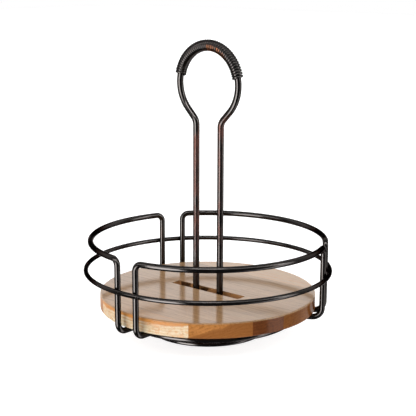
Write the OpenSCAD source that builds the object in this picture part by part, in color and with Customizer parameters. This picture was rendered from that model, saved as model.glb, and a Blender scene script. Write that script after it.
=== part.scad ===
// Lazy susan caddy: a wire basket on a ball-bearing turntable, with a loose
// round board for a floor and a tall looped handle that stands through it.
// Millimetres. The origin is on the table, on the turntable's axis, +Z is up,
// and the handle and the board's slot lie along X.

/* [Basket] */
// Diameter over the middle hoop, the widest piece
overall_d = 223.4; // [195:0.1:300]
// Height of the top rail's wire centre above the table
rail_z = 84.5; // [78:0.1:150]
// Height of the middle hoop's wire centre above the table
hoop_z = 58; // [50:0.1:66]
// Diameter of the wire of the rails and legs
rail_wire_d = 5.2; // [4:0.1:6.5]
// Diameter of the middle hoop's wire
hoop_wire_d = 4.2; // [3:0.1:5]
// Diameter of the wire of the hoop under the floor
under_wire_d = 4.6; // [3.5:0.1:5.4]
// Radius of the under hoop's wire centre
under_hoop_r = 78.5; // [65:0.5:84]
// Distance between the two legs beside each opening, centre to centre
leg_gap = 20.8; // [14:0.1:30]
// Bend radius of the wire where a rail turns down into a leg
top_bend_r = 6; // [5:0.5:14]
// How far from the axis the six floor wires end
floor_wire_end = 34; // [32:0.5:40]

/* [Board] */
// Thickness of the board
board_t = 13.6; // [10:0.1:20]
// Gap between the board's rim and the legs
board_gap = 5.1; // [2:0.1:8]
// Rounding of the board's top and bottom edges
board_edge_r = 1.2; // [0.5:0.1:2]
// Widths of the glued staves from the front rim, the last takes what is left
stave_w = [13.8, 39.3, 29.8, 41.7, 35];
// Corner radius of the slot
slot_corner_r = 1.5; // [1:0.1:3]

/* [Handle] */
// Height of the whole object, to the top of the wound grip
overall_h = 260.8; // [215:0.1:330]
// Diameter of the handle's wire
handle_wire_d = 5.8; // [4.5:0.1:7]
// Distance between the two stems, centre to centre
stem_gap = 28; // [26:0.1:34]
// Radius of the loop's wire centre
loop_r = 33; // [29:0.5:40]
// Bend radius of the neck between a stem and the loop
neck_r = 10; // [7:0.5:14]
// Angle from the vertical of the wire between the neck and the loop
neck_slope = 44; // [38:1:50]
// Diameter of the wire wound round the grip
coil_wire_d = 2.1; // [1.5:0.1:2.5]
// Angle above the horizontal at which the winding starts and ends
coil_start = 10; // [5:1:25]

/* [Turntable] */
// Diameter over the foot ring
foot_d = 106.8; // [100:0.2:130]
// Diameter of the foot ring's wire
foot_wire_d = 4; // [3.6:0.1:5.5]
// Width of the anti-slip ring glued under the pan
pad_w = 4.5; // [3:0.1:5.4]
// Thickness of the anti-slip ring
pad_t = 2.5; // [2:0.1:3]
// Thickness of the pressed base pan
pan_t = 1.2; // [0.8:0.1:1.6]
// How far the pan steps up inside its flange
pan_step = 3.2; // [3:0.1:6]
// Number of balls in the bearing
ball_count = 16; // [8:1:20]
// Diameter of the bearing balls
ball_d = 6; // [5:0.1:7.2]
// Radius of the circle of the ball centres
ball_path_r = 34; // [33:0.5:36]
// Thickness of each race under the ball groove
race_floor = 1.7; // [1.2:0.1:2.5]
// Thickness of each race inside and outside the ball track
race_web_t = 1.2; // [0.8:0.1:1.6]
// How deep each race holds the balls
groove_depth = 1.45; // [1:0.05:1.8]
// Thickness of the cage that spaces the balls
cage_t = 1.2; // [0.8:0.1:1.6]
// Diameter of the pivot's shank
pivot_d = 8; // [6:0.1:10]
// Thickness of the pivot's heads
pivot_head_t = 1.2; // [0.8:0.1:1.4]
// Thickness of the carrier plate under the floor wires
carrier_t = 1.5; // [1.4:0.1:2.5]
// Radius of the carrier plate
carrier_r = 46; // [42:0.5:60]
// Diameter of the rivets' shanks
rivet_d = 4; // [3:0.1:5]
// Distance of the rivets from the axis
rivet_circle_r = 22.5; // [22:0.1:23.5]

/* [Fits] */
// How far welded wires sink into each other
weld = 0.15; // [0.05:0.05:0.3]
// Gap left between pieces that must not touch
clear = 0.3; // [0.2:0.05:0.5]
// Gap on each side of the wound grip as the board lifts over it
slot_side_gap = 0.4; // [0.3:0.05:1]
// Gap at each end of the slot as the board lifts over the loop
slot_end_gap = 1.8; // [1:0.1:6]
// Running gap of the pivot and of the balls in their grooves
running = 0.06; // [0.02:0.01:0.1]
// Gap between the wound wire and the handle's wire
wound_gap = 0.04; // [0.02:0.01:0.08]

/* [Hidden] */
$fn = 72;

bronze = "#2e2624";
zinc = "#9a9da0";
steel = "#c8ccd0";
rubber = "#262626";
stave_colours = ["#e3c08a", "#b9793c", "#8a5530", "#c48b4c", "#9c6434", "#cf9a5b"];

// The stack from the table up
foot_r = (foot_d - foot_wire_d) / 2;
foot_z = clear + foot_wire_d / 2;
flange_r = foot_r - foot_wire_d / 2 + weld;
pad_outer_r = flange_r - clear;
pad_inner_r = pad_outer_r - pad_w;
plateau_r = pad_inner_r - clear - pan_t;
plateau_z = pad_t + pan_step;
race_z = plateau_z + pan_t;
race_r = ball_path_r + ball_d / 2 + 1.5;
ball_z = race_z + race_floor + running + ball_d / 2;
race_h = 2 * (ball_z - race_z);
land_w = ball_d + 3;
land_h = race_floor + groove_depth;
carrier_z = race_z + race_h;
floor_wire_z = carrier_z + carrier_t + rail_wire_d / 2 - weld;
under_hoop_z = floor_wire_z - (rail_wire_d + under_wire_d) / 2 + weld;
board_z = floor_wire_z + rail_wire_d / 2 + clear;

// The basket: each leg just touches the inside of the middle hoop
hoop_r = (overall_d - hoop_wire_d) / 2;
leg_r = hoop_r - (hoop_wire_d + rail_wire_d) / 2 + weld;
rail_r = sqrt(pow(leg_r, 2) - pow(top_bend_r, 2));
leg_x = sqrt(pow(leg_r, 2) - pow(leg_gap / 2, 2));
opening_half = 60;
leg_angle = opening_half - asin(leg_gap / 2 / leg_r);
arc_end = leg_angle - atan(top_bend_r / rail_r);

// The handle: each stem bends out at the neck and runs straight into the loop
coil_ring_r = (handle_wire_d + coil_wire_d) / 2 + wound_gap;
coil_od = 2 * coil_ring_r + coil_wire_d;
loop_z = overall_h - coil_od / 2 - loop_r;
neck_x = stem_gap / 2 + neck_r;
neck_line = (loop_r * cos(neck_slope) - stem_gap / 2 - neck_r * (1 - cos(neck_slope))) / sin(neck_slope);
neck_z = loop_z - (loop_r + neck_r) * sin(neck_slope) - neck_line * cos(neck_slope);
coil_sweep = 180 - 2 * coil_start;
turn_angle = 2 * asin((coil_wire_d + wound_gap) / 2 / (loop_r - coil_ring_r));
coil_turns = floor(coil_sweep / turn_angle);

// The board: each leg turns in under it just where its flat underside ends
board_r = leg_r - rail_wire_d / 2 - board_gap;
bottom_bend_r = leg_x - (board_r - board_edge_r);

// The slot lets the loop and its winding through
slot_w = coil_od + 2 * slot_side_gap;
slot_l = 2 * (loop_r + coil_od / 2) * cos(coil_start) + 2 * slot_end_gap;

// Where a straight length or a long arc meets a bend
seam_w = 0.6;
seam_gap = 0.1;
seam_over = 0.02;

// The pivot and rivets
pivot_head_r = pivot_d / 2 + 2.5;
pivot_top = carrier_z + clear + pivot_head_t;
rivet_head_r = rivet_d / 2 + 1.5;
rivet_head_t = 1;

// A ring of round wire in the XY plane, or a part of one
module wire_arc(r, d, angle = 360, start = 0) {
    rotate_extrude(angle = angle, start = start)
        translate([r, 0])
            circle(d = d, $fn = 32);
}

// The same standing in the XZ plane
module standing_arc(r, d, angle, start) {
    rotate([90, 0, 0])
        wire_arc(r, d, angle, start);
}

// A long arc that stops just short of the bend at each end
module arc_between_bends(r, d, angle, start) {
    short = seam_gap * 180 / (PI * r);
    wire_arc(r, d, angle - 2 * short, start + short);
}

// A straight length along +Z that stops just short of the bend at each end
module straight(length, d) {
    translate([0, 0, seam_gap])
        cylinder(h = length - 2 * seam_gap, d = d, $fn = 48);
}

// The hair-thin band that joins two lengths of wire, across the Z axis
module seam(d) {
    cylinder(h = seam_w, d = d + 2 * seam_over, center = true, $fn = 48);
}

module washer_shape(outer_r, inner_r, h) {
    difference() {
        cylinder(h = h, r = outer_r);
        translate([0, 0, -1])
            cylinder(h = h + 2, r = inner_r);
    }
}

// Three places spaced round the axis, clear of the floor wires
module at_rivets() {
    for (a = [90, 210, 330])
        rotate(a)
            translate([rivet_circle_r, 0, 0])
                children();
}

module rivet(grip_from, grip_to) {
    translate([0, 0, grip_from])
        cylinder(h = grip_to - grip_from, d = rivet_d);
    translate([0, 0, grip_to])
        cylinder(h = rivet_head_t, r = rivet_head_r);
    translate([0, 0, grip_from - rivet_head_t])
        cylinder(h = rivet_head_t, r = rivet_head_r);
}

// ---- stands still ----

module foot_ring() {
    color(bronze)
        translate([0, 0, foot_z])
            wire_arc(foot_r, foot_wire_d);
}

// A pressed pan: flat flange, sloping wall and raised middle
module base_pan() {
    wall_run = 1;
    color(bronze)
        difference() {
            rotate_extrude()
                polygon([
                    [pivot_d / 2, plateau_z],
                    [plateau_r - wall_run, plateau_z],
                    [plateau_r, pad_t],
                    [flange_r, pad_t],
                    [flange_r, pad_t + pan_t],
                    [plateau_r + pan_t, pad_t + pan_t],
                    [plateau_r + pan_t - wall_run, race_z],
                    [pivot_d / 2, race_z]]);
            at_rivets()
                translate([0, 0, plateau_z - 1])
                    cylinder(h = pan_t + 2, d = rivet_d);
        }
}

module anti_slip_ring() {
    color(rubber)
        washer_shape(pad_outer_r, pad_inner_r, pad_t);
}

// A race as it lies under the balls: a thin web and a thick ball track
module race(bore_r) {
    difference() {
        union() {
            cylinder(h = race_web_t, r = race_r);
            washer_shape(race_r, race_r - land_w, land_h);
        }
        translate([0, 0, -1])
            cylinder(h = land_h + 2, r = bore_r);
        translate([0, 0, ball_z - race_z])
            wire_arc(ball_path_r, ball_d + 2 * running);
        at_rivets()
            translate([0, 0, -1])
                cylinder(h = land_h + 2, d = rivet_d);
    }
}

module lower_race() {
    color(zinc)
        translate([0, 0, race_z])
            race(pivot_d / 2);
}

module lower_rivets() {
    color(steel)
        at_rivets()
            rivet(plateau_z, race_z + race_web_t);
}

// The pivot is fast in the pan and the lower race, and holds the upper race down
module pivot() {
    color(steel) {
        translate([0, 0, plateau_z])
            cylinder(h = pivot_top - plateau_z, d = pivot_d);
        translate([0, 0, plateau_z - pivot_head_t])
            cylinder(h = pivot_head_t, r = pivot_head_r);
        translate([0, 0, pivot_top - pivot_head_t])
            cylinder(h = pivot_head_t, r = pivot_head_r);
    }
}

// ---- rolls between the races ----

module bearing_balls() {
    color(steel)
        for (i = [0 : ball_count - 1])
            rotate(i * 360 / ball_count)
                translate([ball_path_r, 0, ball_z])
                    sphere(d = ball_d);
}

module ball_cage() {
    color("#b08d3c")
        difference() {
            translate([0, 0, ball_z - cage_t / 2])
                washer_shape(race_r - 0.5, race_r - land_w + 0.5, cage_t);
            for (i = [0 : ball_count - 1])
                rotate(i * 360 / ball_count)
                    translate([ball_path_r, 0, ball_z - cage_t])
                        cylinder(h = 2 * cage_t, d = ball_d + 2 * running);
        }
}

// ---- turns ----

module upper_race() {
    color(zinc)
        translate([0, 0, carrier_z])
            mirror([0, 0, 1])
                race(pivot_d / 2 + running);
}

module upper_rivets() {
    color(steel)
        at_rivets()
            rivet(carrier_z - race_web_t, carrier_z + carrier_t);
}

module carrier_plate() {
    color(bronze)
        translate([0, 0, carrier_z])
            difference() {
                washer_shape(carrier_r, pivot_head_r + clear, carrier_t);
                at_rivets()
                    translate([0, 0, -1])
                        cylinder(h = carrier_t + 2, d = rivet_d);
                for (side = [-1, 1])
                    translate([side * stem_gap / 2, 0, -1])
                        cylinder(h = carrier_t + 2, d = handle_wire_d, $fn = 48);
            }
}

// Half of a rail wire: the bend down, the leg, the bend in and the floor wire
module leg_and_floor_wire() {
    leg_top = rail_z - top_bend_r;
    leg_foot = floor_wire_z + bottom_bend_r;
    floor_wire_l = leg_x - bottom_bend_r - floor_wire_end;
    rotate(arc_end)
        translate([rail_r, 0, leg_top]) {
            rotate(90)
                standing_arc(top_bend_r, rail_wire_d, 90, 0);
            translate([0, 0, top_bend_r])
                rotate([90, 0, 0])
                    seam(rail_wire_d);
        }
    rotate(opening_half)
        translate([leg_x, -leg_gap / 2, 0]) {
            translate([0, 0, leg_top])
                seam(rail_wire_d);
            translate([0, 0, leg_foot]) {
                straight(leg_top - leg_foot, rail_wire_d);
                seam(rail_wire_d);
                translate([-bottom_bend_r, 0, 0])
                    standing_arc(bottom_bend_r, rail_wire_d, 90, 270);
            }
            translate([-bottom_bend_r, 0, floor_wire_z])
                rotate([0, -90, 0]) {
                    straight(floor_wire_l, rail_wire_d);
                    seam(rail_wire_d);
                }
        }
}

// One bent wire spans the third of the basket that is centred on `angle`
module rail_wire(angle) {
    color(bronze)
        rotate(angle) {
            translate([0, 0, rail_z])
                arc_between_bends(rail_r, rail_wire_d, 2 * arc_end, -arc_end);
            leg_and_floor_wire();
            mirror([0, 1, 0])
                leg_and_floor_wire();
        }
}

module rail_wire_back() { rail_wire(90); }
module rail_wire_left() { rail_wire(210); }
module rail_wire_right() { rail_wire(330); }

module middle_hoop() {
    color(bronze)
        translate([0, 0, hoop_z])
            wire_arc(hoop_r, hoop_wire_d);
}

module under_hoop() {
    color(bronze)
        translate([0, 0, under_hoop_z])
            wire_arc(under_hoop_r, under_wire_d);
}

// One wire: a stem, a neck, a short straight, the loop, and the same again on the other side
module handle_wire() {
    color(bronze) {
        translate([0, 0, loop_z])
            rotate([90, 0, 0])
                arc_between_bends(loop_r, handle_wire_d, 180 + 2 * neck_slope, -neck_slope);
        for (side = [0, 1])
            mirror([side, 0, 0]) {
                translate([0, 0, loop_z])
                    rotate([0, neck_slope, 0])
                        translate([loop_r, 0, 0]) {
                            seam(handle_wire_d);
                            translate([0, 0, -neck_line]) {
                                straight(neck_line, handle_wire_d);
                                seam(handle_wire_d);
                            }
                        }
                translate([neck_x, 0, neck_z])
                    standing_arc(neck_r, handle_wire_d, neck_slope, 180 - neck_slope);
                translate([stem_gap / 2, 0, carrier_z])
                    straight(neck_z - carrier_z, handle_wire_d);
                translate([stem_gap / 2, 0, neck_z])
                    seam(handle_wire_d);
            }
    }
}

// The winding as close turns on a thin sleeve
module grip_coil() {
    color(bronze)
        translate([0, 0, loop_z])
            rotate([90, 0, 0]) {
                difference() {
                    wire_arc(loop_r, 2 * coil_ring_r, coil_sweep, coil_start);
                    wire_arc(loop_r, handle_wire_d + 2 * wound_gap);
                }
                for (i = [0 : coil_turns - 1])
                    rotate(90 + (i - (coil_turns - 1) / 2) * turn_angle)
                        translate([loop_r, 0, 0])
                            rotate([90, 0, 0])
                                wire_arc(coil_ring_r, coil_wire_d);
            }
}

// ---- lifts off ----

module board_blank() {
    translate([0, 0, board_z])
        rotate_extrude()
            polygon([
                [0, 0],
                for (a = [0 : 15 : 90])
                    [board_r - board_edge_r * (1 - sin(a)), board_edge_r * (1 - cos(a))],
                for (a = [0 : 15 : 90])
                    [board_r - board_edge_r * (1 - cos(a)), board_t - board_edge_r * (1 - sin(a))],
                [0, board_t]]);
}

module slot() {
    reach_x = slot_l / 2 - slot_corner_r;
    reach_y = slot_w / 2 - slot_corner_r;
    translate([0, 0, board_z - 1])
        linear_extrude(board_t + 2) {
            square([slot_l, 2 * reach_y], center = true);
            square([2 * reach_x, slot_w], center = true);
            for (x = [-reach_x, reach_x], y = [-reach_y, reach_y])
                translate([x, y])
                    circle(r = slot_corner_r, $fn = 24);
        }
}

// Where each stave starts, counted from the front rim
function stave_from(i) = i == 0 ? -board_r : stave_from(i - 1) + stave_w[i - 1];
function stave_to(i) = i == len(stave_w) ? board_r : stave_from(i + 1);

module board_stave(i) {
    color(stave_colours[i])
        difference() {
            intersection() {
                board_blank();
                translate([-board_r - 1, stave_from(i), board_z - 1])
                    cube([2 * board_r + 2, stave_to(i) - stave_from(i), board_t + 2]);
            }
            slot();
        }
}

foot_ring();
base_pan();
anti_slip_ring();
lower_race();
lower_rivets();
pivot();
bearing_balls();
ball_cage();
upper_race();
upper_rivets();
carrier_plate();
rail_wire_back();
rail_wire_left();
rail_wire_right();
middle_hoop();
under_hoop();
handle_wire();
grip_coil();
board_stave(0);  // board_stave_1
board_stave(1);  // board_stave_2
board_stave(2);  // board_stave_3
board_stave(3);  // board_stave_4
board_stave(4);  // board_stave_5
board_stave(5);  // board_stave_6
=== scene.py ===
# %% [markdown]
# # A wire caddy that turns
# This lesson dresses a finished mechanical model: a bronze wire basket on a ball-bearing
# turntable, with a round acacia board for a floor and a tall looped handle. The
# mechanical model arrives as a fixed frame of named nodes, in metres, with Z up.

# %% Load the frame
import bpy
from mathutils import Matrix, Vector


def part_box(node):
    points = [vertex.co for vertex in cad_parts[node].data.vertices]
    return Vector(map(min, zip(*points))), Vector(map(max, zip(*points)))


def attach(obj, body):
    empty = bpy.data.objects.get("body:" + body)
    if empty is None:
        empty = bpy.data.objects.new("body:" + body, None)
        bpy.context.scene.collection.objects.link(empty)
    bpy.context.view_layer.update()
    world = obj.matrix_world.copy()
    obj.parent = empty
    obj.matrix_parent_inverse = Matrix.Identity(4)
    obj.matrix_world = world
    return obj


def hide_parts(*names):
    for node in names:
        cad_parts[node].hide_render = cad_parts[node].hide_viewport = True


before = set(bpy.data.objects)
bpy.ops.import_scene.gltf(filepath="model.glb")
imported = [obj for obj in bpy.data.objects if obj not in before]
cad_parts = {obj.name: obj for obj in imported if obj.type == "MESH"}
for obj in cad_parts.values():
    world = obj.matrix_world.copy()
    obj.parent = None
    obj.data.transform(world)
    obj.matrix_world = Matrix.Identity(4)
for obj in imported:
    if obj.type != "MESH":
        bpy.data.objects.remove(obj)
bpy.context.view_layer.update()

# %% [markdown]
# The helpers below keep every later cell short. Operators act on whatever is selected, and
# the loaded nodes are all selected, so a clean selection comes first each time. New pieces
# are moved and turned in Edit mode, so each keeps its origin at the frame's own origin and
# a pattern on Object coordinates stays where it was placed.

# %% Helpers
import math
import bpy
from mathutils import Vector

MM = 0.001


def select_only(*pieces):
    bpy.ops.object.select_all(action="DESELECT")
    for piece in pieces:
        piece.select_set(True)
    bpy.context.view_layer.objects.active = pieces[0]


def apply_modifiers(piece):
    select_only(piece)
    for modifier in list(piece.modifiers):
        bpy.ops.object.modifier_apply(modifier=modifier.name)


def fresh(name):
    piece = bpy.context.active_object
    piece.name = name
    return piece


print("helpers ready")

# %% [markdown]
# The camera stands well back with a long lens, so the basket's rings look almost round and
# the stems stay parallel. It is a little above the board and to the right of the front
# opening, and it looks at a point inside the basket. The small shift leaves more room
# above the handle without tilting the camera, which would make the stems lean.

# %% Camera
view_azimuth = math.radians(40.3)
view_height = math.radians(13.9)
view_roll = math.radians(0.23)
view_distance = 0.97
look_at = Vector((0, 0, 0.0873))
away = Vector((
    math.sin(view_azimuth) * math.cos(view_height),
    -math.cos(view_azimuth) * math.cos(view_height),
    math.sin(view_height)))

camera_data = bpy.data.cameras.new("studio_camera")
camera = bpy.data.objects.new("studio_camera", camera_data)
bpy.context.scene.collection.objects.link(camera)
bpy.context.scene.camera = camera
camera.location = look_at + away * view_distance
camera.rotation_euler = (-away).to_track_quat("-Z", "Y").to_euler()
camera.rotation_euler.rotate_axis("Z", view_roll)
camera_data.lens = 93.6
camera_data.sensor_width = 36
camera_data.shift_y = 0.066
camera_data.clip_start = 0.05
print("camera at", [round(v, 3) for v in camera.location])

# %% [markdown]
# Dark glossy wire is drawn by what it mirrors, so the studio matters as much as the paint.
# The floor glows like a lit glass table, which burns it out to white and leaves only a
# faint shadow, and it is kept out of mirrors.

# %% Lit floor
bpy.ops.object.select_all(action="DESELECT")
bpy.ops.mesh.primitive_plane_add(size=12)
floor = fresh("studio_floor")
floor_glass = bpy.data.materials.new("floor_glass")
floor_glass.use_nodes = True
glass_shader = floor_glass.node_tree.nodes["Principled BSDF"]
glass_shader.inputs["Base Color"].default_value = (0.42, 0.42, 0.42, 1)
glass_shader.inputs["Roughness"].default_value = 0.9
glass_shader.inputs["Emission Color"].default_value = (1, 1, 1, 1)
glass_shader.inputs["Emission Strength"].default_value = 0.85
floor.data.materials.append(floor_glass)
floor.visible_glossy = False
print("floor is", floor.dimensions.x, "m wide")

# %% [markdown]
# The camera sees a white surround everywhere, but the object is lit by another one, which
# is worked out from the direction that each ray takes. These functions add the nodes for
# it. A strip of light is a band round the sky, cut off at both ends.

# %% A short way to build the surround
surround = bpy.data.worlds.new("white_surround")
surround.use_nodes = True
sky = surround.node_tree
sky.nodes["Background"].inputs["Color"].default_value = (1, 1, 1, 1)
direction = sky.nodes.new("ShaderNodeTexCoord")


def sky_math(operation, first, second=0.0):
    node = sky.nodes.new("ShaderNodeMath")
    node.operation = operation
    for socket, value in zip(node.inputs, (first, second)):
        if hasattr(value, "is_output"):
            sky.links.new(value, socket)
        else:
            socket.default_value = value
    return node.outputs["Value"]


def sky_dot(towards):
    """How far the direction leans to `towards`, from -1 to 1."""
    facing = sky.nodes.new("ShaderNodeVectorMath")
    facing.operation = "DOT_PRODUCT"
    facing.inputs[1].default_value = towards.normalized()
    sky.links.new(direction.outputs["Generated"], facing.inputs[0])
    return facing.outputs["Value"]


def sky_rise(value, start, end, dim, bright):
    """Dim below start, bright above end, and a smooth rise between."""
    rise = sky.nodes.new("ShaderNodeMapRange")
    rise.interpolation_type = "SMOOTHSTEP"
    for socket, number in zip(("From Min", "From Max", "To Min", "To Max"),
                              (start, end, dim, bright)):
        rise.inputs[socket].default_value = number
    sky.links.new(value, rise.inputs["Value"])
    return rise.outputs["Result"]


def strip(middle, along, half_width, reach, bright):
    """A strip of light about `middle`, drawn out in the direction `along`."""
    soft_side, soft_end = 0.03, 0.15
    off = sky_math("ABSOLUTE", sky_dot(middle.cross(along)))
    band = sky_rise(off, half_width + soft_side, half_width - soft_side, 0.0, bright)
    ends = sky_rise(sky_dot(middle), reach, reach + soft_end, 0.0, 1.0)
    return sky_math("MULTIPLY", band, ends)


def turned(azimuth, raised):
    """The direction so many degrees right of the camera and above level."""
    way, up = view_azimuth + math.radians(azimuth), math.radians(raised)
    return Vector((math.sin(way) * math.cos(up), -math.cos(way) * math.cos(up), math.sin(up)))


print("surround builder ready")

# %% [markdown]
# The light is bright behind the object, so that the board mirrors white. Three strips draw a
# line each on the round wires: an upright strip to the left and one to the right give the
# lines down the stems, and a level strip high in front gives the line along the rails. A
# stem mirrors what is a little below the horizon, because the camera looks down, so the
# upright strips stay low. That also keeps them off the board. The rest is dim, and the
# wires stay black there.

# %% Surround
upright, rightward = Vector((0, 0, 1)), turned(90, 0)
behind = -turned(0, 0)
strips = [
    strip(turned(-42, -14), upright, half_width=0.27, reach=0.8, bright=11.5),
    strip(turned(76, -22), upright, half_width=0.17, reach=0.62, bright=3.5),
    strip(turned(0, 52), rightward, half_width=0.06, reach=0.2, bright=9.0)]
sky_light = sky_rise(sky_dot(behind), -0.1, 0.6, dim=0.10, bright=1.45)
for lit_strip in strips:
    sky_light = sky_math("MAXIMUM", sky_light, lit_strip)

seen = sky.nodes.new("ShaderNodeLightPath")
choice = sky.nodes.new("ShaderNodeMix")
choice.inputs["B"].default_value = 1.0
sky.links.new(seen.outputs["Is Camera Ray"], choice.inputs["Factor"])
sky.links.new(sky_light, choice.inputs["A"])
sky.links.new(choice.outputs["Result"], sky.nodes["Background"].inputs["Strength"])
bpy.context.scene.world = surround
bpy.context.scene.view_settings.view_transform = "Standard"
print("surround ready with", len(strips), "strips of light")

# %% [markdown]
# Two small softboxes add sparkle: one high in front and one to the right. Each is placed by
# how far it is turned from the camera, which is easier to picture than coordinates.

# %% Softboxes
lit_point = Vector((0, 0, 0.1))


def softbox(name, azimuth, raised, distance, width, height, brightness):
    """A lit panel so many degrees right of the camera and above level."""
    data = bpy.data.lights.new(name, "AREA")
    data.shape = "RECTANGLE"
    data.size = width
    data.size_y = height
    data.energy = brightness * math.pi * width * height
    lamp = bpy.data.objects.new(name, data)
    bpy.context.scene.collection.objects.link(lamp)
    towards = turned(azimuth, raised)
    lamp.location = lit_point + towards * distance
    lamp.rotation_euler = (-towards).to_track_quat("-Z", "Y").to_euler()
    print(name, "at", [round(v, 2) for v in lamp.location])


softbox("top_box", 0, 55, distance=1.2, width=0.5, height=0.12, brightness=18)
softbox("right_box", 72, 25, distance=1.4, width=0.12, height=0.8, brightness=6)

# %% [markdown]
# Every finish starts from the same place: a node tree with one shader and one output,
# read through Object coordinates so that it stays put on its piece. The Mix node keeps a
# pair of inputs and an output for each kind of value, and those for colours are numbered.

# %% A short way to build a finish
MIX_FACTOR, MIX_FIRST, MIX_SECOND = 0, 6, 7
MIX_RESULT = 2


class Finish:
    def __init__(self, name):
        self.material = bpy.data.materials.new(name)
        self.material.use_nodes = True
        self.tree = self.material.node_tree
        self.shader = self.tree.nodes["Principled BSDF"]
        self.place = self.add("ShaderNodeTexCoord").outputs["Object"]

    def add(self, kind, links=None, **settings):
        node = self.tree.nodes.new(kind)
        for key, value in settings.items():
            setattr(node, key, value)
        for key, value in (links or {}).items():
            socket = node.inputs[key]
            if hasattr(value, "is_output"):
                self.tree.links.new(value, socket)
            else:
                socket.default_value = value
        return node

    def set(self, **values):
        for key, value in values.items():
            self.shader.inputs[key.replace("_", " ")].default_value = value

    def feed(self, socket, output):
        self.tree.links.new(output, self.shader.inputs[socket])

    def stretched(self, scale, location=(0, 0, 0)):
        """Object coordinates with a scale for each axis."""
        node = self.add("ShaderNodeMapping", {
            "Vector": self.place, "Scale": scale, "Location": location})
        return node.outputs["Vector"]

    def noise(self, vector, scale, detail=3.0, rough=0.55, distortion=0.0):
        node = self.add("ShaderNodeTexNoise", {
            "Vector": vector, "Scale": scale, "Detail": detail,
            "Roughness": rough, "Distortion": distortion})
        return node.outputs["Fac"]

    def level(self, value, low, high):
        """A value remapped from 0..1 to low..high."""
        node = self.add("ShaderNodeMapRange", {
            "Value": value, "To Min": low, "To Max": high})
        return node.outputs["Result"]

    def step(self, value, start, end):
        """0 below start, 1 above end, and a smooth rise between."""
        node = self.add("ShaderNodeMapRange", {
            "Value": value, "From Min": start, "From Max": end}, interpolation_type="SMOOTHSTEP")
        return node.outputs["Result"]

    def mix(self, amount, first, second):
        """From the first colour to the second as the amount goes from 0 to 1."""
        first, second = (
            (*colour, 1) if isinstance(colour, tuple) else colour for colour in (first, second))
        node = self.add("ShaderNodeMix", data_type="RGBA", links={
            MIX_FACTOR: amount, MIX_FIRST: first, MIX_SECOND: second})
        return node.outputs[MIX_RESULT]

    def math(self, operation, first, second=0.0):
        node = self.add("ShaderNodeMath", {0: first, 1: second}, operation=operation)
        return node.outputs["Value"]

    def vector_math(self, operation, first, second):
        node = self.add("ShaderNodeVectorMath", {0: first, 1: second}, operation=operation)
        return node.outputs["Vector"]

    def length(self, vector):
        node = self.add("ShaderNodeVectorMath", {0: vector}, operation="LENGTH")
        return node.outputs["Value"]

    def axes(self):
        """The X, Y and Z of Object coordinates."""
        return self.add("ShaderNodeSeparateXYZ", {0: self.place}).outputs

    def bump(self, height, depth, strength=1.0):
        node = self.add("ShaderNodeBump", {
            "Height": height, "Distance": depth, "Strength": strength})
        self.feed("Normal", node.outputs["Normal"])


def shade(colour, amount):
    return tuple(amount * part for part in colour)


def paint(node_names, finish):
    for name in node_names:
        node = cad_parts[name]
        node.data.materials.clear()
        node.data.materials.append(finish.material)


print("finish builder ready")

# %% [markdown]
# The wire is finished to look like old rubbed bronze: a nearly black patina that still
# glints like metal, with copper showing where hands would wear it. A metal that reflects
# only a few parts in a hundred gives the patina, and its edge tint is kept dark so that the
# wires stay black where they are seen at a glancing angle. A noise stretched along the
# stems makes the streaks and a finer one is a slight orange peel. `worn` raises the wear
# everywhere, and each entry of `rubs` raises it between two heights on one side of the
# handle. `palm_and_groove_shade` is for the wound grip: it says where the palm rubs, and
# it paints shade into the grooves between the turns, which are coloured near black.

# %% Bronze finishes
# painted shade for the grooves between the grip's turns
GROOVE_SHADE = (0.006, 0.005, 0.005)


def rubbed_place(finish, axes, side, low, high):
    """1 between two heights on one side of the handle, and 0 elsewhere."""
    above = finish.step(axes["Z"], low - 20 * MM, low + 20 * MM)
    below = finish.step(axes["Z"], high + 8 * MM, high - 8 * MM)
    beside = finish.step(axes["X"], -4 * MM * side, 4 * MM * side)
    return finish.math("MULTIPLY", finish.math("MULTIPLY", above, below), beside)


def rubbed_bronze(name, worn, rubs=(), patina=0.05, copper=(0.085, 0.036, 0.028), bare=0.45,
                  palm_and_groove_shade=None):
    """`bare` is how metallic the copper is where the patina is gone."""
    finish = Finish(name)
    axes = finish.axes()
    cloud = finish.noise(finish.place, 60, detail=4)
    streak = finish.noise(finish.stretched((1, 1, 0.12)), 380, detail=5, distortion=0.3)
    speck = finish.noise(finish.place, 1300, detail=2)
    wear = finish.math("ADD", finish.math("MULTIPLY", streak, 0.6),
                       finish.math("MULTIPLY", cloud, 0.4))
    wear = finish.math("ADD", wear, worn)
    for side, low, high, more in rubs:
        place = rubbed_place(finish, axes, side, low, high)
        wear = finish.math("ADD", wear, finish.math("MULTIPLY", place, more))
    # the grip's function also gives a mask that is 0 in the grooves between its turns, where
    # shade is painted
    palm_rub, unshaded_crest = palm_and_groove_shade(finish, axes) if palm_and_groove_shade else (0.0, 1.0)
    wear = finish.math("ADD", wear, palm_rub)
    rubbed = finish.math("MULTIPLY", finish.step(wear, 0.56, 0.88), unshaded_crest)
    dark = finish.mix(cloud, shade((0.7, 0.66, 0.65), patina), shade((1.2, 1.08, 1.02), patina))
    # painted shade: the grooves between the grip's turns are coloured near black
    dark = finish.mix(unshaded_crest, GROOVE_SHADE, dark)
    peel = finish.level(speck, 0.1, 0.2)
    finish.feed("Base Color", finish.mix(rubbed, dark, copper))
    finish.feed("Metallic", finish.level(rubbed, 1.0, bare))
    finish.feed("Roughness", finish.math("ADD", peel, finish.math("MULTIPLY", rubbed, 0.15)))
    finish.set(IOR=1.4, Specular_Tint=(0.22, 0.2, 0.2, 1))
    finish.bump(speck, 0.008 * MM, 0.4)
    return finish


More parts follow.
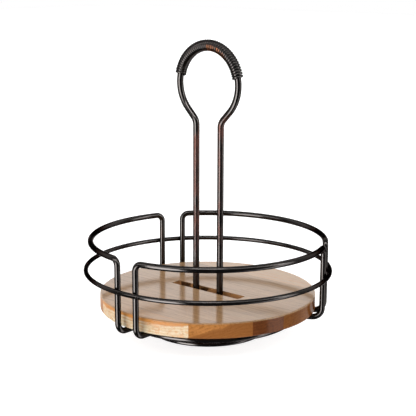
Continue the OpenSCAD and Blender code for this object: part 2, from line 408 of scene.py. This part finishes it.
LEFT, RIGHT = -1, 1
handle_rubs = [
    # side, from height, to height, extra wear
    (LEFT, 0.095, 0.182, 0.22),
    (LEFT, 0.035, 0.100, 0.12),
    (RIGHT, 0.165, 0.196, 0.22),
    (RIGHT, 0.090, 0.165, 0.13),
    (RIGHT, 0.035, 0.100, 0.08),
]
wires = ["rail_wire_back", "rail_wire_left", "rail_wire_right",
         "middle_hoop", "under_hoop", "foot_ring"]
sheets = ["carrier_plate", "base_pan"]
paint(wires, rubbed_bronze("rubbed_bronze_wire", -0.02))
paint(["handle_wire"], rubbed_bronze("rubbed_bronze_handle", 0.0, handle_rubs))
paint(sheets, rubbed_bronze("rubbed_bronze_sheet", -0.05))
print("bronze on the handle,", len(wires), "wires and", len(sheets), "sheets")

# %% [markdown]
# The bearing's pieces stay hidden under the board, but they show from below and when the
# board is lifted out: zinc-plated races with turning marks, bright balls, a nylon cage,
# plain steel rivets, and a rubber ring.

# %% Bearing finishes


def turned_metal(name, colour, rough):
    finish = Finish(name)
    marks = finish.add("ShaderNodeTexWave", {
        "Vector": finish.place, "Scale": 900, "Distortion": 1.5, "Detail": 2},
        wave_type="RINGS", rings_direction="Z")
    cloud = finish.noise(finish.place, 130, detail=4)
    finish.feed("Base Color", finish.mix(cloud, shade(colour, 0.7), colour))
    finish.feed("Roughness", finish.level(cloud, rough, rough + 0.2))
    finish.set(Metallic=1.0)
    finish.bump(marks.outputs["Fac"], 0.01 * MM, 0.5)
    return finish


races = ["lower_race", "upper_race"]
rivets = ["lower_rivets", "upper_rivets", "pivot"]
paint(races, turned_metal("zinc_plate", (0.55, 0.56, 0.57), rough=0.3))
paint(rivets, turned_metal("rivet_steel", (0.6, 0.6, 0.61), rough=0.25))
paint(["bearing_balls"], turned_metal("ball_steel", (0.78, 0.79, 0.8), rough=0.06))

nylon = Finish("cage_nylon")
nylon_cloud = nylon.noise(nylon.place, 200, detail=3)
nylon.feed("Base Color", nylon.mix(nylon_cloud, (0.72, 0.69, 0.6), (0.8, 0.78, 0.7)))
nylon.set(Roughness=0.5, Subsurface_Weight=0.1)
nylon.bump(nylon.noise(nylon.place, 1800), 0.01 * MM)
paint(["ball_cage"], nylon)

rubber = Finish("foot_rubber")
rubber_grain = rubber.noise(rubber.place, 2500, detail=4)
rubber.feed("Base Color", rubber.mix(rubber_grain, (0.018, 0.018, 0.018), (0.035, 0.034, 0.033)))
rubber.set(Roughness=0.85)
rubber.bump(rubber_grain, 0.05 * MM)
paint(["anti_slip_ring"], rubber)
print("bearing finished:", len(races), "races,", len(rivets), "sets of rivets and pins")

# %% [markdown]
# The board is glued up from six acacia staves. Real timber is a solid pattern: rings round
# the middle of the tree, drawn out along the trunk. So each stave gets a ring pattern with
# its own pith line, along X, which draws long grain on the top and arcs on the rim without
# any unwrapping. Noise bends the rings, a second noise makes pores, and wood beyond a
# certain ring is pale sapwood. The top millimetre is painted paler and more even: painted
# light that stands in for the lit top face. The router has scorched the slot's walls in
# places. A clear lacquer lies over all of it: seen from low down it mirrors the bright side
# of the surround, and the stems show in it as warm streaks.

# %% A short way to finish a stave
_, board_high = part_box("board_stave_4")
board_top = board_high.z
ring_width = 2.4 * MM
# half the slot's size, with a little of the wood round it
slot_half_width, slot_half_length = 5.8 * MM, 41 * MM
# paler colour for the top millimetre: painted light standing in for the lit top face
painted_top_light = (0.31, 0.19, 0.098)
fresh_cut, scorched = (0.40, 0.19, 0.075), (0.018, 0.008, 0.004)


def pith_distance(finish, pith, seed):
    """How far a point is from the pith line, bent a little by noise."""
    slid = finish.stretched((0.06, 1, 1), (seed, -pith[0], -pith[1]))
    bend = finish.add("ShaderNodeTexNoise", {
        "Vector": slid, "Scale": 45, "Detail": 3, "Roughness": 0.5})
    bent = finish.vector_math("SUBTRACT", bend.outputs["Color"], (0.5, 0.5, 0.5))
    pushed = finish.add("ShaderNodeVectorMath", {0: bent, "Scale": 12 * MM}, operation="SCALE")
    warped = finish.vector_math("ADD", slid, pushed.outputs["Vector"])
    return finish.length(finish.vector_math("MULTIPLY", warped, (0, 1, 1)))


def slot_walls(finish, axes, seed):
    """Where the slot's cut walls are, and their colour with its scorched patches."""
    across = finish.math("ABSOLUTE", axes["Y"])
    along = finish.math("ABSOLUTE", axes["X"])
    near = finish.math(
        "MULTIPLY",
        finish.step(across, slot_half_width + 0.3 * MM, slot_half_width - 0.2 * MM),
        finish.step(axes["Z"], board_top - 0.2 * MM, board_top - 0.8 * MM))
    near = finish.math("MULTIPLY", near,
                       finish.step(along, slot_half_length, slot_half_length - 1 * MM))
    patches = finish.noise(finish.stretched((1, 1, 0.6), (seed, 0, 0)), 130, detail=3)
    burn = finish.math("MULTIPLY", finish.step(patches, 0.49, 0.57), 0.9)
    return finish.math("MULTIPLY", near, 0.9), finish.mix(burn, fresh_cut, scorched)


def acacia(name, pith, heart, sap, dark, heart_r, seed):
    finish = Finish(name)
    axes = finish.axes()
    # the top millimetre, which gets the paler painted light and the full lacquer
    top_face = finish.step(axes["Z"], board_top - 1.6 * MM, board_top - 0.4 * MM)

    # heartwood inside one ring and sapwood outside it, both uneven along the grain
    radius = pith_distance(finish, pith, seed)
    band = finish.noise(finish.stretched((0.05, 1, 1), (seed, seed, 0)), 60, detail=3)
    heartwood = finish.mix(band, heart, dark)
    sapwood = finish.mix(finish.step(band, 0.42, 1.0), sap, heart)
    edge = finish.step(radius, heart_r - 0.8 * MM, heart_r + 1.2 * MM)
    colour = finish.mix(edge, heartwood, sapwood)
    mottle = finish.noise(finish.stretched((0.5, 1, 1), (0, seed, 0)), 420, detail=2, rough=0.7)
    mottle = finish.math("MULTIPLY", finish.step(mottle, 0.46, 0.66), 0.5)
    colour = finish.mix(mottle, colour, dark)
    # painted light: the top millimetre is made paler and more even
    colour = finish.mix(finish.math("MULTIPLY", top_face, 0.87), colour, painted_top_light)

    # each growth ring ends in darker late wood, fainter on the top face, under the paler painted
    # light
    ring = finish.math("FRACT", finish.math("DIVIDE", radius, ring_width))
    late = finish.math("POWER", ring, 3.0)
    late_shown = finish.math("MULTIPLY", late, finish.level(top_face, 0.4, 0.16))
    colour = finish.mix(late_shown, colour, shade(dark, 0.6))

    # fine grain lines, and pores
    fine = finish.noise(finish.stretched((0.02, 1, 1), (0, seed, 0)), 520, detail=4)
    grained = finish.mix(finish.step(fine, 0.45, 0.75), colour, shade(dark, 0.8))
    colour = finish.mix(0.45, colour, grained)
    pores = finish.noise(finish.stretched((0.045, 1, 1), (seed, 0, 0)), 1300, detail=2)
    pore = finish.step(pores, 0.58, 0.7)
    colour = finish.mix(finish.math("MULTIPLY", pore, 0.45), colour, shade(dark, 0.35))

    wall, cut = slot_walls(finish, axes, seed)
    finish.feed("Base Color", finish.mix(wall, colour, cut))
    finish.feed("Roughness", finish.level(late, 0.5, 0.62))
    finish.feed("Coat Weight", finish.level(top_face, 0.3, 1.0))
    finish.set(Specular_IOR_Level=0.0, Coat_Roughness=0.12, Coat_IOR=1.36)
    finish.bump(finish.math("SUBTRACT", 1.0, pore), 0.03 * MM, 0.25)
    return finish


print("board's top is at", round(board_top / MM, 1), "mm")

# %% [markdown]
# Each stave has its own tree: where the pith lies, how far the heartwood reaches, and the
# colours. The first stave is at the front of the board and the last is at the back, and the
# light sapwood is on those two.

# %% Acacia
cream, straw, honey = (0.59, 0.52, 0.37), (0.55, 0.40, 0.22), (0.40, 0.21, 0.085)
amber, ginger = (0.52, 0.20, 0.045), (0.37, 0.155, 0.043)
russet, chestnut = (0.22, 0.085, 0.024), (0.22, 0.082, 0.022)
brown, walnut = (0.20, 0.072, 0.018), (0.16, 0.05, 0.014)
bark, umber = (0.10, 0.034, 0.009), (0.06, 0.018, 0.006)
stave_timber = [
    # pith (y, z), heartwood, sapwood, dark streaks, heartwood radius, seed
    ((-0.090, 0.100), honey, cream, amber, 0.0668, 1.3),
    ((-0.030, -0.050), russet, ginger, brown, 0.0905, 2.1),
    ((-0.035, 0.085), walnut, amber, umber, 0.090, 3.7),
    ((0.012, -0.050), chestnut, honey, bark, 0.220, 4.4),
    ((0.040, 0.090), brown, amber, umber, 0.220, 5.2),
    ((0.085, -0.030), honey, straw, amber, 0.060, 6.6),
]
for number, timber in enumerate(stave_timber, 1):
    paint([f"board_stave_{number}"], acacia(f"acacia_{number}", *timber))
print("acacia on", len(stave_timber), "staves")

# %% [markdown]
# The grip is one wire wound close round the top of the loop. A straight coil is easy: a
# small circle swept by the Screw modifier. To take it round the loop it could follow a
# curve, but the Simple Deform modifier bends a straight piece into an exact arc when its
# length and its angle are known, so that is used. All the sizes are read from the loaded
# handle. The coil takes the place of the plain sleeve in the mechanical model.

# %% Wound grip
handle_low, handle_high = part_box("handle_wire")
grip_low, grip_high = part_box("grip_coil")
wire_r = (handle_high.y - handle_low.y) / 2
loop_r = handle_high.x - wire_r
coil_r = (grip_high.y - grip_low.y) / 2
loop_z = grip_high.z - coil_r - loop_r
# the winding just clears the handle's wire, and leaves each end of the half circle bare
coil_gap = 0.04 * MM
bare_end = math.radians(10)
coil_wire_r = (coil_r - wire_r - coil_gap) / 2
coil_path_r = coil_r - coil_wire_r
grip_length = (math.pi - 2 * bare_end) * loop_r
turns = 40
pitch = (grip_length - 2 * coil_wire_r) / turns

bpy.ops.object.select_all(action="DESELECT")
bpy.ops.mesh.primitive_circle_add(vertices=12, radius=coil_wire_r)
grip = fresh("wound_grip")
bpy.ops.object.mode_set(mode="EDIT")
bpy.ops.mesh.select_all(action="SELECT")
bpy.ops.transform.rotate(value=math.pi / 2, orient_axis="X", center_override=(0, 0, 0))
bpy.ops.transform.translate(value=(coil_path_r, 0, 0))
bpy.ops.object.mode_set(mode="OBJECT")
sweep = grip.modifiers.new("sweep", "SCREW")
sweep.axis = "Z"
sweep.iterations = turns
sweep.screw_offset = pitch
sweep.steps = 20
sweep.render_steps = 20
sweep.use_merge_vertices = False
apply_modifiers(grip)

bpy.ops.object.mode_set(mode="EDIT")
bpy.ops.mesh.select_all(action="SELECT")
bpy.ops.transform.translate(value=(0, 0, -pitch * turns / 2))
bpy.ops.mesh.fill_holes(sides=0)
bpy.ops.mesh.select_all(action="SELECT")
bpy.ops.mesh.normals_make_consistent(inside=False)
bpy.ops.object.mode_set(mode="OBJECT")
print("straight coil:", turns, "turns,", round(grip.dimensions.z / MM, 1), "mm long")

# %% [markdown]
# The bend's angle is the coil's length divided by the loop's radius. The bend curls the
# coil towards +X, so a quarter turn stands the arc up, and it is then lifted on to the loop.

# %% Bend the grip round the loop
bend = grip.modifiers.new("bend", "SIMPLE_DEFORM")
bend.deform_method = "BEND"
bend.deform_axis = "Y"
bend.angle = grip.dimensions.z / loop_r
apply_modifiers(grip)
bpy.ops.object.mode_set(mode="EDIT")
bpy.ops.mesh.select_all(action="SELECT")
bpy.ops.transform.rotate(value=-math.pi / 2, orient_axis="Y", center_override=(0, 0, 0))
bpy.ops.transform.translate(value=(0, 0, loop_z + loop_r))
bpy.ops.object.mode_set(mode="OBJECT")
bpy.ops.object.shade_smooth_by_angle(angle=math.radians(50))
print("grip spans", [round(v, 4) for v in grip.bound_box[0]], "to",
      [round(v, 4) for v in grip.bound_box[6]])

# %% [markdown]
# A palm rubs the winding on the inner side of the loop, right of its top. The finish also
# needs to know how far a point is from the loop's own line: the grooves between the turns
# are nearer to it and get painted shade, near black, and the crests of the turns are farther and
# can glint.
# The finished grip rides the turntable's body.

# %% Finish the grip


def palm_wear_and_groove_shade(finish, axes):
    """How much the palm adds to the wear, and a mask that is 1 on a turn's crest and 0 in the
    grooves, which get painted shade.
    """
    arm = finish.add("ShaderNodeCombineXYZ", {
        "X": axes["X"], "Z": finish.math("SUBTRACT", axes["Z"], loop_z)})
    radius = finish.length(arm.outputs["Vector"])
    inner = finish.step(radius, loop_r + 2.2 * MM, loop_r + 0.4 * MM)
    right = finish.math("MULTIPLY", finish.step(axes["X"], -7 * MM, 3 * MM),
                        finish.step(axes["X"], 29 * MM, 20 * MM))
    off_path = finish.add("ShaderNodeCombineXYZ", {
        "X": finish.math("SUBTRACT", radius, loop_r), "Y": axes["Y"]})
    height = finish.length(off_path.outputs["Vector"])
    # 1 on the crests of the turns, 0 in the grooves, where the finish paints shade
    unshaded_crest = finish.step(height, coil_r - 0.75 * MM, coil_r - 0.12 * MM)
    return finish.math("MULTIPLY", finish.math("MULTIPLY", inner, right), 0.26), unshaded_crest


grip_bronze = rubbed_bronze("rubbed_bronze_grip", -0.04, patina=0.06,
                            copper=(0.22, 0.08, 0.032), bare=1.0, palm_and_groove_shade=palm_wear_and_groove_shade)
grip.data.materials.append(grip_bronze.material)
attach(grip, "turntable")
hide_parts("grip_coil")
print("grip finished, with", len(grip.data.polygons), "faces")
